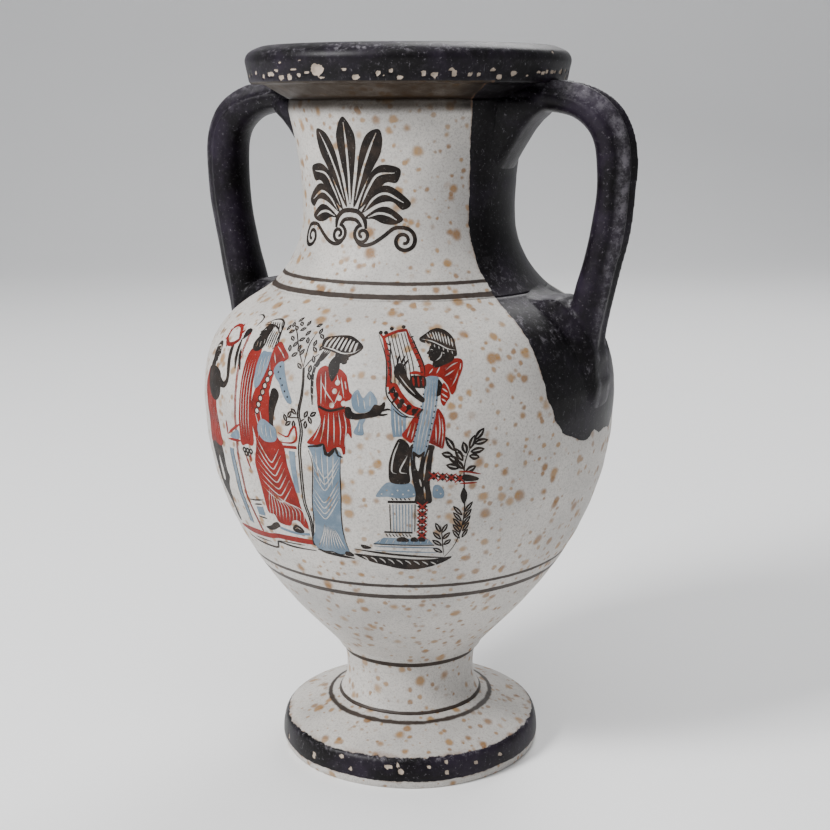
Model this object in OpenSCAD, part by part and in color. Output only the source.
// Neck amphora of hand-thrown earthenware, after the ancient two-handled shape.
// It is thrown as separate pieces that are luted together: mouth ring, neck, body, stem and foot disc,
// with two pulled handles, each on a clay saddle under the mouth and a clay pad on the shoulder.
// Frame: origin at the centre of the base, +Z up the axis, handles along X, painted front towards -Y.

/* [Heights] */
// Height of the whole vase
height = 280; // [270:1:290]
// Height of the foot disc, up to the stem
foot_h = 20; // [18:1:22]
// Height at which the belly leaves the stem
belly_base_z = 42; // [40:1:44]
// Height of the widest ring of the belly
belly_z = 148; // [142:1:152]
// Height of the seam between shoulder and neck
shoulder_z = 189.5; // [188:0.5:191]
// Height of the narrowest ring of the neck
neck_waist_z = 218; // [214:1:222]
// Height of the seam between neck and mouth ring
mouth_seam_z = 259.7; // [258:0.1:261]

/* [Radii] */
// Greatest radius of the foot disc
foot_r = 53.3; // [50:0.1:56]
// Radius of the stem where it meets the foot
stem_foot_r = 29.5; // [28:0.5:31]
// Radius of the groove at the top of the stem
stem_groove_r = 27.3; // [26:0.1:28]
// Greatest radius of the belly
belly_r = 81; // [78:0.5:84]
// Radius of the shoulder at the neck seam
shoulder_r = 54; // [53:0.5:56]
// Radius of the neck at its waist
neck_waist_r = 41.2; // [39:0.1:43]
// Radius of the neck just under the mouth ring
neck_top_r = 46; // [45:0.5:47]
// Greatest radius of the lip
lip_r = 62.4; // [61.5:0.1:62.6]

/* [Clay] */
// Thickness of the thrown wall
wall = 5.5; // [4.5:0.5:6]
// Thickness of the clay pad under a handle's lower end
luting_t = 2; // [1.5:0.5:2.5]
// Steps along each curve of an outline
curve_steps = 12; // [6:1:20]

/* [Handles] */
// Height of the handle's centre line where it leaves the neck
handle_top_z = 260.6; // [260:0.1:261]
// Distance of the grip's centre line from the vase's axis
handle_reach = 83.8; // [83.6:0.1:84.5]
// Radius of the bend at the top of the handle
handle_bend_r = 21; // [20:0.5:21]
// Radius of the long bow of the grip
handle_bow_r = 165; // [160:5:175]
// Angle that the grip leans in towards the shoulder
handle_lean = 16; // [15:0.5:17]
// Radius of the reverse bend above the shoulder
handle_toe_r = 100; // [95:5:105]
// Width of the grip, along the vase's surface
grip_w = 17.4; // [16:0.2:18]
// Thickness of the grip, away from the vase
grip_t = 14.6; // [14:0.2:15]
// Depth of the groove along the outer side of the grip
groove_depth = 1.2; // [0.4:0.1:1.6]

/* [Hidden] */
$fn = 96;

cream = "#e6e1d6";
glaze = "#221e26";

// Seats between the thrown pieces
neck_spigot_h = 4;
neck_spigot_r = 47.5;
mouth_tongue_h = 2.5;
mouth_tongue_r = 43;
stem_spigot_h = 4;
stem_spigot_r = 20;
body_tenon_h = 4;
body_tenon_r = 17;

// Foot disc
rest_outer_r = foot_r - 1.3;
rest_inner_r = 40;
foot_edge_z = 11.7;
foot_edge_r = foot_r - 1.8;
foot_hollow_r = 14;
foot_hollow_z = 8;

// Stem
stem_hollow_top_z = 32;

// Inside of the body
floor_z = 50;
body_rim_z = shoulder_z - 5.5;

// Neck
neck_groove_z = mouth_seam_z - 2.7;
neck_groove_r = 45.4;

// Mouth ring
collar_top_r = 55;
lip_bottom_z = height - 14.8;
lip_bottom_r = lip_r - 1.6;
lip_shoulder_z = height - 6;
mouth_r = 50;

// Handle centre line: out from the neck, over the bend, down the bow and the reverse bend
section_points = 24;
groove_w = 2.6;
bend_x = handle_reach - handle_bend_r;
bend_z = handle_top_z - handle_bend_r;
bow_x = handle_reach - handle_bow_r;
toe_x = bow_x + (handle_bow_r + handle_toe_r) * cos(handle_lean);
toe_z = bend_z - (handle_bow_r + handle_toe_r) * sin(handle_lean);
toe_extra = 8;
handle_root_len = bend_x - 40;

// Fillet of clay under the handle's top end
fillet_low_z = 232;
fillet_low_r = neck_waist_r + 0.6;
fillet_high_z = 253;
fillet_r = 54;

// Outlines of the saddle and the pad, seen from the handle's side
saddle_high_z = mouth_seam_z;
saddle_low_w = 6;
saddle_high_w = 13;
pad_low_z = 148;
pad_low_r = 7;
pad_high_z = 176;
pad_high_r = 13;
pad_tip_z = 186;

// Points of a cubic curve from a to d, bent towards b and c
function cubic(a, b, c, d) = [
    for (i = [0 : curve_steps])
        let (t = i / curve_steps)
            pow(1 - t, 3) * a + 3 * pow(1 - t, 2) * t * b + 3 * (1 - t) * t * t * c + pow(t, 3) * d
];

// The points without the first, for a curve that goes on from another
function after(points) = [for (i = [1 : len(points) - 1]) points[i]];

// Outer line of the body, from the stem to the neck seam
function body_outline(grow) = concat(
    cubic([29.2 + grow, belly_base_z], [29.3 + grow, 48], [belly_r + grow, 82.3], [belly_r + grow, belly_z]),
    after(cubic(
        [belly_r + grow, belly_z],
        [belly_r + grow, belly_z + 31.1],
        [shoulder_r + 7.3 + grow, shoulder_z - 5.9 + grow],
        [shoulder_r + grow, shoulder_z + grow]
    ))
);

// Outer line of the neck, from the shoulder seam to the mouth ring
function neck_outline(grow) = concat(
    cubic(
        [shoulder_r + grow, shoulder_z],
        [shoulder_r - 5.5 + grow, shoulder_z + 5.5],
        [neck_waist_r + grow, neck_waist_z - 15],
        [neck_waist_r + grow, neck_waist_z]
    ),
    after(cubic(
        [neck_waist_r + grow, neck_waist_z],
        [neck_waist_r + grow, neck_waist_z + 18],
        [neck_top_r - 2.5 + grow, neck_groove_z - 11],
        [neck_top_r + grow, neck_groove_z]
    )),
    [[neck_groove_r + grow, mouth_seam_z]]
);

// Outer line of the mouth ring, from the neck seam up the collar and over the lip
function mouth_outline() = concat(
    [
        [neck_groove_r, mouth_seam_z],
        [collar_top_r, lip_bottom_z],
        [lip_bottom_r, lip_bottom_z]
    ],
    cubic([lip_r, lip_shoulder_z], [lip_r + 0.4, height - 2.2], [lip_r - 3.4, height - 1], [lip_r - 7.4, height])
);

// Inner line of the neck, from the mouth seam down to the end of its spigot
function neck_bore() = concat(
    cubic(
        [neck_waist_r - wall + 4.8, mouth_seam_z],
        [neck_waist_r - wall + 2.3, neck_groove_z - 11],
        [neck_waist_r - wall, neck_waist_z + 18],
        [neck_waist_r - wall, neck_waist_z]
    ),
    after(cubic(
        [neck_waist_r - wall, neck_waist_z],
        [neck_waist_r - wall, neck_waist_z - 15],
        [43, shoulder_z + 4.5],
        [43.5, shoulder_z - neck_spigot_h]
    ))
);

module mouth_ring() {
    color(glaze)
        rotate_extrude()
            polygon(concat(
                [[mouth_tongue_r, mouth_seam_z]],
                mouth_outline(),
                cubic([mouth_r, height], [mouth_r - 2.5, height],
                      [mouth_r - 4, height - 5], [mouth_tongue_r, mouth_seam_z + mouth_tongue_h])
            ));
}

module neck() {
    color(cream)
        rotate_extrude()
            polygon(concat(
                [
                    [neck_spigot_r, shoulder_z - neck_spigot_h],
                    [neck_spigot_r, shoulder_z]
                ],
                neck_outline(0),
                [
                    [mouth_tongue_r, mouth_seam_z],
                    [mouth_tongue_r, mouth_seam_z + mouth_tongue_h],
                    [mouth_tongue_r - 1.5, mouth_seam_z + mouth_tongue_h]
                ],
                neck_bore()
            ));
}

module body() {
    color(cream)
        rotate_extrude()
            polygon(concat(
                [
                    [0, belly_base_z - body_tenon_h],
                    [body_tenon_r, belly_base_z - body_tenon_h],
                    [body_tenon_r, belly_base_z]
                ],
                body_outline(0),
                [[neck_spigot_r, shoulder_z]],
                cubic(
                    [neck_spigot_r, body_rim_z],
                    [neck_spigot_r + 10, body_rim_z - 5.5],
                    [belly_r - wall, belly_z + 27],
                    [belly_r - wall, belly_z]
                ),
                after(cubic([belly_r - wall, belly_z], [belly_r - wall, 88], [34, floor_z], [0, floor_z]))
            ));
}

module stem() {
    color(cream)
        rotate_extrude()
            polygon(concat(
                [
                    [foot_hollow_r, foot_h - stem_spigot_h],
                    [stem_spigot_r, foot_h - stem_spigot_h],
                    [stem_spigot_r, foot_h]
                ],
                cubic([stem_foot_r, foot_h], [25.5, foot_h + 4], [25, foot_h + 13],
                      [stem_groove_r, belly_base_z - 1.8]),
                [
                    [28.5, belly_base_z],
                    [body_tenon_r, belly_base_z],
                    [body_tenon_r, belly_base_z - body_tenon_h],
                    [0, belly_base_z - body_tenon_h],
                    [0, stem_hollow_top_z]
                ],
                cubic([0, stem_hollow_top_z], [8, stem_hollow_top_z],
                      [foot_hollow_r - 1, stem_hollow_top_z - 6], [foot_hollow_r, foot_h])
            ));
}

module foot_disc() {
    color(cream)
        rotate_extrude()
            polygon(concat(
                [[rest_inner_r, 0]],
                cubic([rest_outer_r, 0], [foot_r + 0.4, 1.5], [foot_r + 0.2, 7], [foot_edge_r, foot_edge_z]),
                [
                    [stem_foot_r + 4, foot_h - 1.5],
                    [stem_foot_r, foot_h],
                    [stem_spigot_r, foot_h],
                    [stem_spigot_r, foot_h - stem_spigot_h],
                    [foot_hollow_r, foot_h - stem_spigot_h]
                ],
                cubic([foot_hollow_r, foot_hollow_z + 3], [foot_hollow_r + 1, foot_hollow_z],
                      [rest_inner_r - 4, foot_hollow_z - 1], [rest_inner_r - 1, 1])
            ));
}

// Filled forms of the vase's outside, which cut the handles to their seats. Their seams face +Y,
// away from the handles.
module body_form(grow) {
    rotate([0, 0, 90])
        rotate_extrude()
            polygon(concat([[0, belly_base_z]], body_outline(grow), [[0, shoulder_z + grow]]));
}

module neck_form(grow) {
    rotate([0, 0, 90])
        rotate_extrude()
            polygon(concat([[0, shoulder_z]], neck_outline(grow), [[0, mouth_seam_z]]));
}

module mouth_form() {
    rotate([0, 0, 90])
        rotate_extrude()
            polygon(concat([[0, mouth_seam_z]], mouth_outline(), [[0, height]]));
}

// The neck with a ring of clay that swells out under the mouth, from which the saddles are cut
module saddle_form() {
    rotate([0, 0, 90])
        rotate_extrude()
            polygon(concat(
                [[0, fillet_low_z]],
                cubic([fillet_low_r, fillet_low_z], [fillet_low_r + 2, fillet_low_z + 11],
                      [fillet_r - 6.5, fillet_high_z - 3], [fillet_r, fillet_high_z]),
                [
                    [fillet_r, mouth_seam_z],
                    [0, mouth_seam_z]
                ]
            ));
}

// Cross-section of the grip: an oval with a groove along its outer side, which leaves two ridges
module grip_section() {
    polygon([
        for (i = [0 : section_points - 1])
            let (
                a = 360 * i / section_points,
                y = grip_w / 2 * sin(a),
                groove = cos(a) > 0 ? groove_depth * exp(-pow(y / groove_w, 2)) : 0
            )
                [grip_t / 2 * sign(cos(a)) * pow(abs(cos(a)), 0.85) - groove, y]
    ]);
}

// A bend of the grip in the plane of the handle, about a centre, from one angle through another
module grip_bend(x, z, radius, from, through) {
    translate([x, 0, z])
        rotate([90, 0, 0])
            rotate([0, 0, from])
                rotate_extrude(angle = through)
                    translate([radius, 0])
                        children();
}

// Top end of the grip, cut to its seats on the neck and the mouth ring
module grip_root() {
    difference() {
        translate([bend_x, 0, handle_top_z])
            rotate([0, -90, 0])
                linear_extrude(height = handle_root_len)
                    grip_section();
        saddle_form();
        mouth_form();
    }
}

// Lower end of the grip, cut to its seat on the shoulder
module grip_toe() {
    difference() {
        grip_bend(toe_x, toe_z, handle_toe_r, 180 - handle_lean, handle_lean + toe_extra)
            mirror([1, 0])
                grip_section();
        body_form(luting_t);
    }
}

// One handle, drawn on the +X side and turned to its own side
module handle(turn) {
    color(glaze)
        rotate([0, 0, turn]) {
            grip_root();
            grip_bend(bend_x, bend_z, handle_bend_r, 0, 90)
                grip_section();
            grip_bend(bow_x, bend_z, handle_bow_r, -handle_lean, handle_lean)
                grip_section();
            grip_toe();
        }
}

// Clay saddle that fills the corner under a handle's top end, wider at the top
module handle_saddle(turn) {
    color(glaze)
        rotate([0, 0, turn])
            intersection() {
                difference() {
                    saddle_form();
                    neck_form(0);
                }
                rotate([90, 0, 90])
                    linear_extrude(height = belly_r)
                        polygon([
                            [-saddle_low_w, fillet_low_z],
                            [saddle_low_w, fillet_low_z],
                            [saddle_high_w, saddle_high_z],
                            [-saddle_high_w, saddle_high_z]
                        ]);
            }
}

// Clay pad on the shoulder, with round ends, that the lower end of a handle is luted to
module handle_pad(turn) {
    color(glaze)
        rotate([0, 0, turn])
            intersection() {
                difference() {
                    body_form(luting_t);
                    body_form(0);
                }
                rotate([90, 0, 90])
                    linear_extrude(height = belly_r + 10)
                        union() {
                            translate([0, pad_low_z])
                                circle(pad_low_r);
                            translate([0, pad_high_z])
                                circle(pad_high_r);
                            polygon([
                                [-pad_low_r, pad_low_z],
                                [pad_low_r, pad_low_z],
                                [pad_high_r, pad_high_z],
                                [-pad_high_r, pad_high_z]
                            ]);
                        }
            }
}

mouth_ring();
neck();
body();
stem();
foot_disc();
handle(180);  // left_handle
handle_saddle(180);  // left_handle_saddle
handle_pad(180);  // left_handle_pad
handle(0);  // right_handle
handle_saddle(0);  // right_handle_saddle
handle_pad(0);  // right_handle_pad
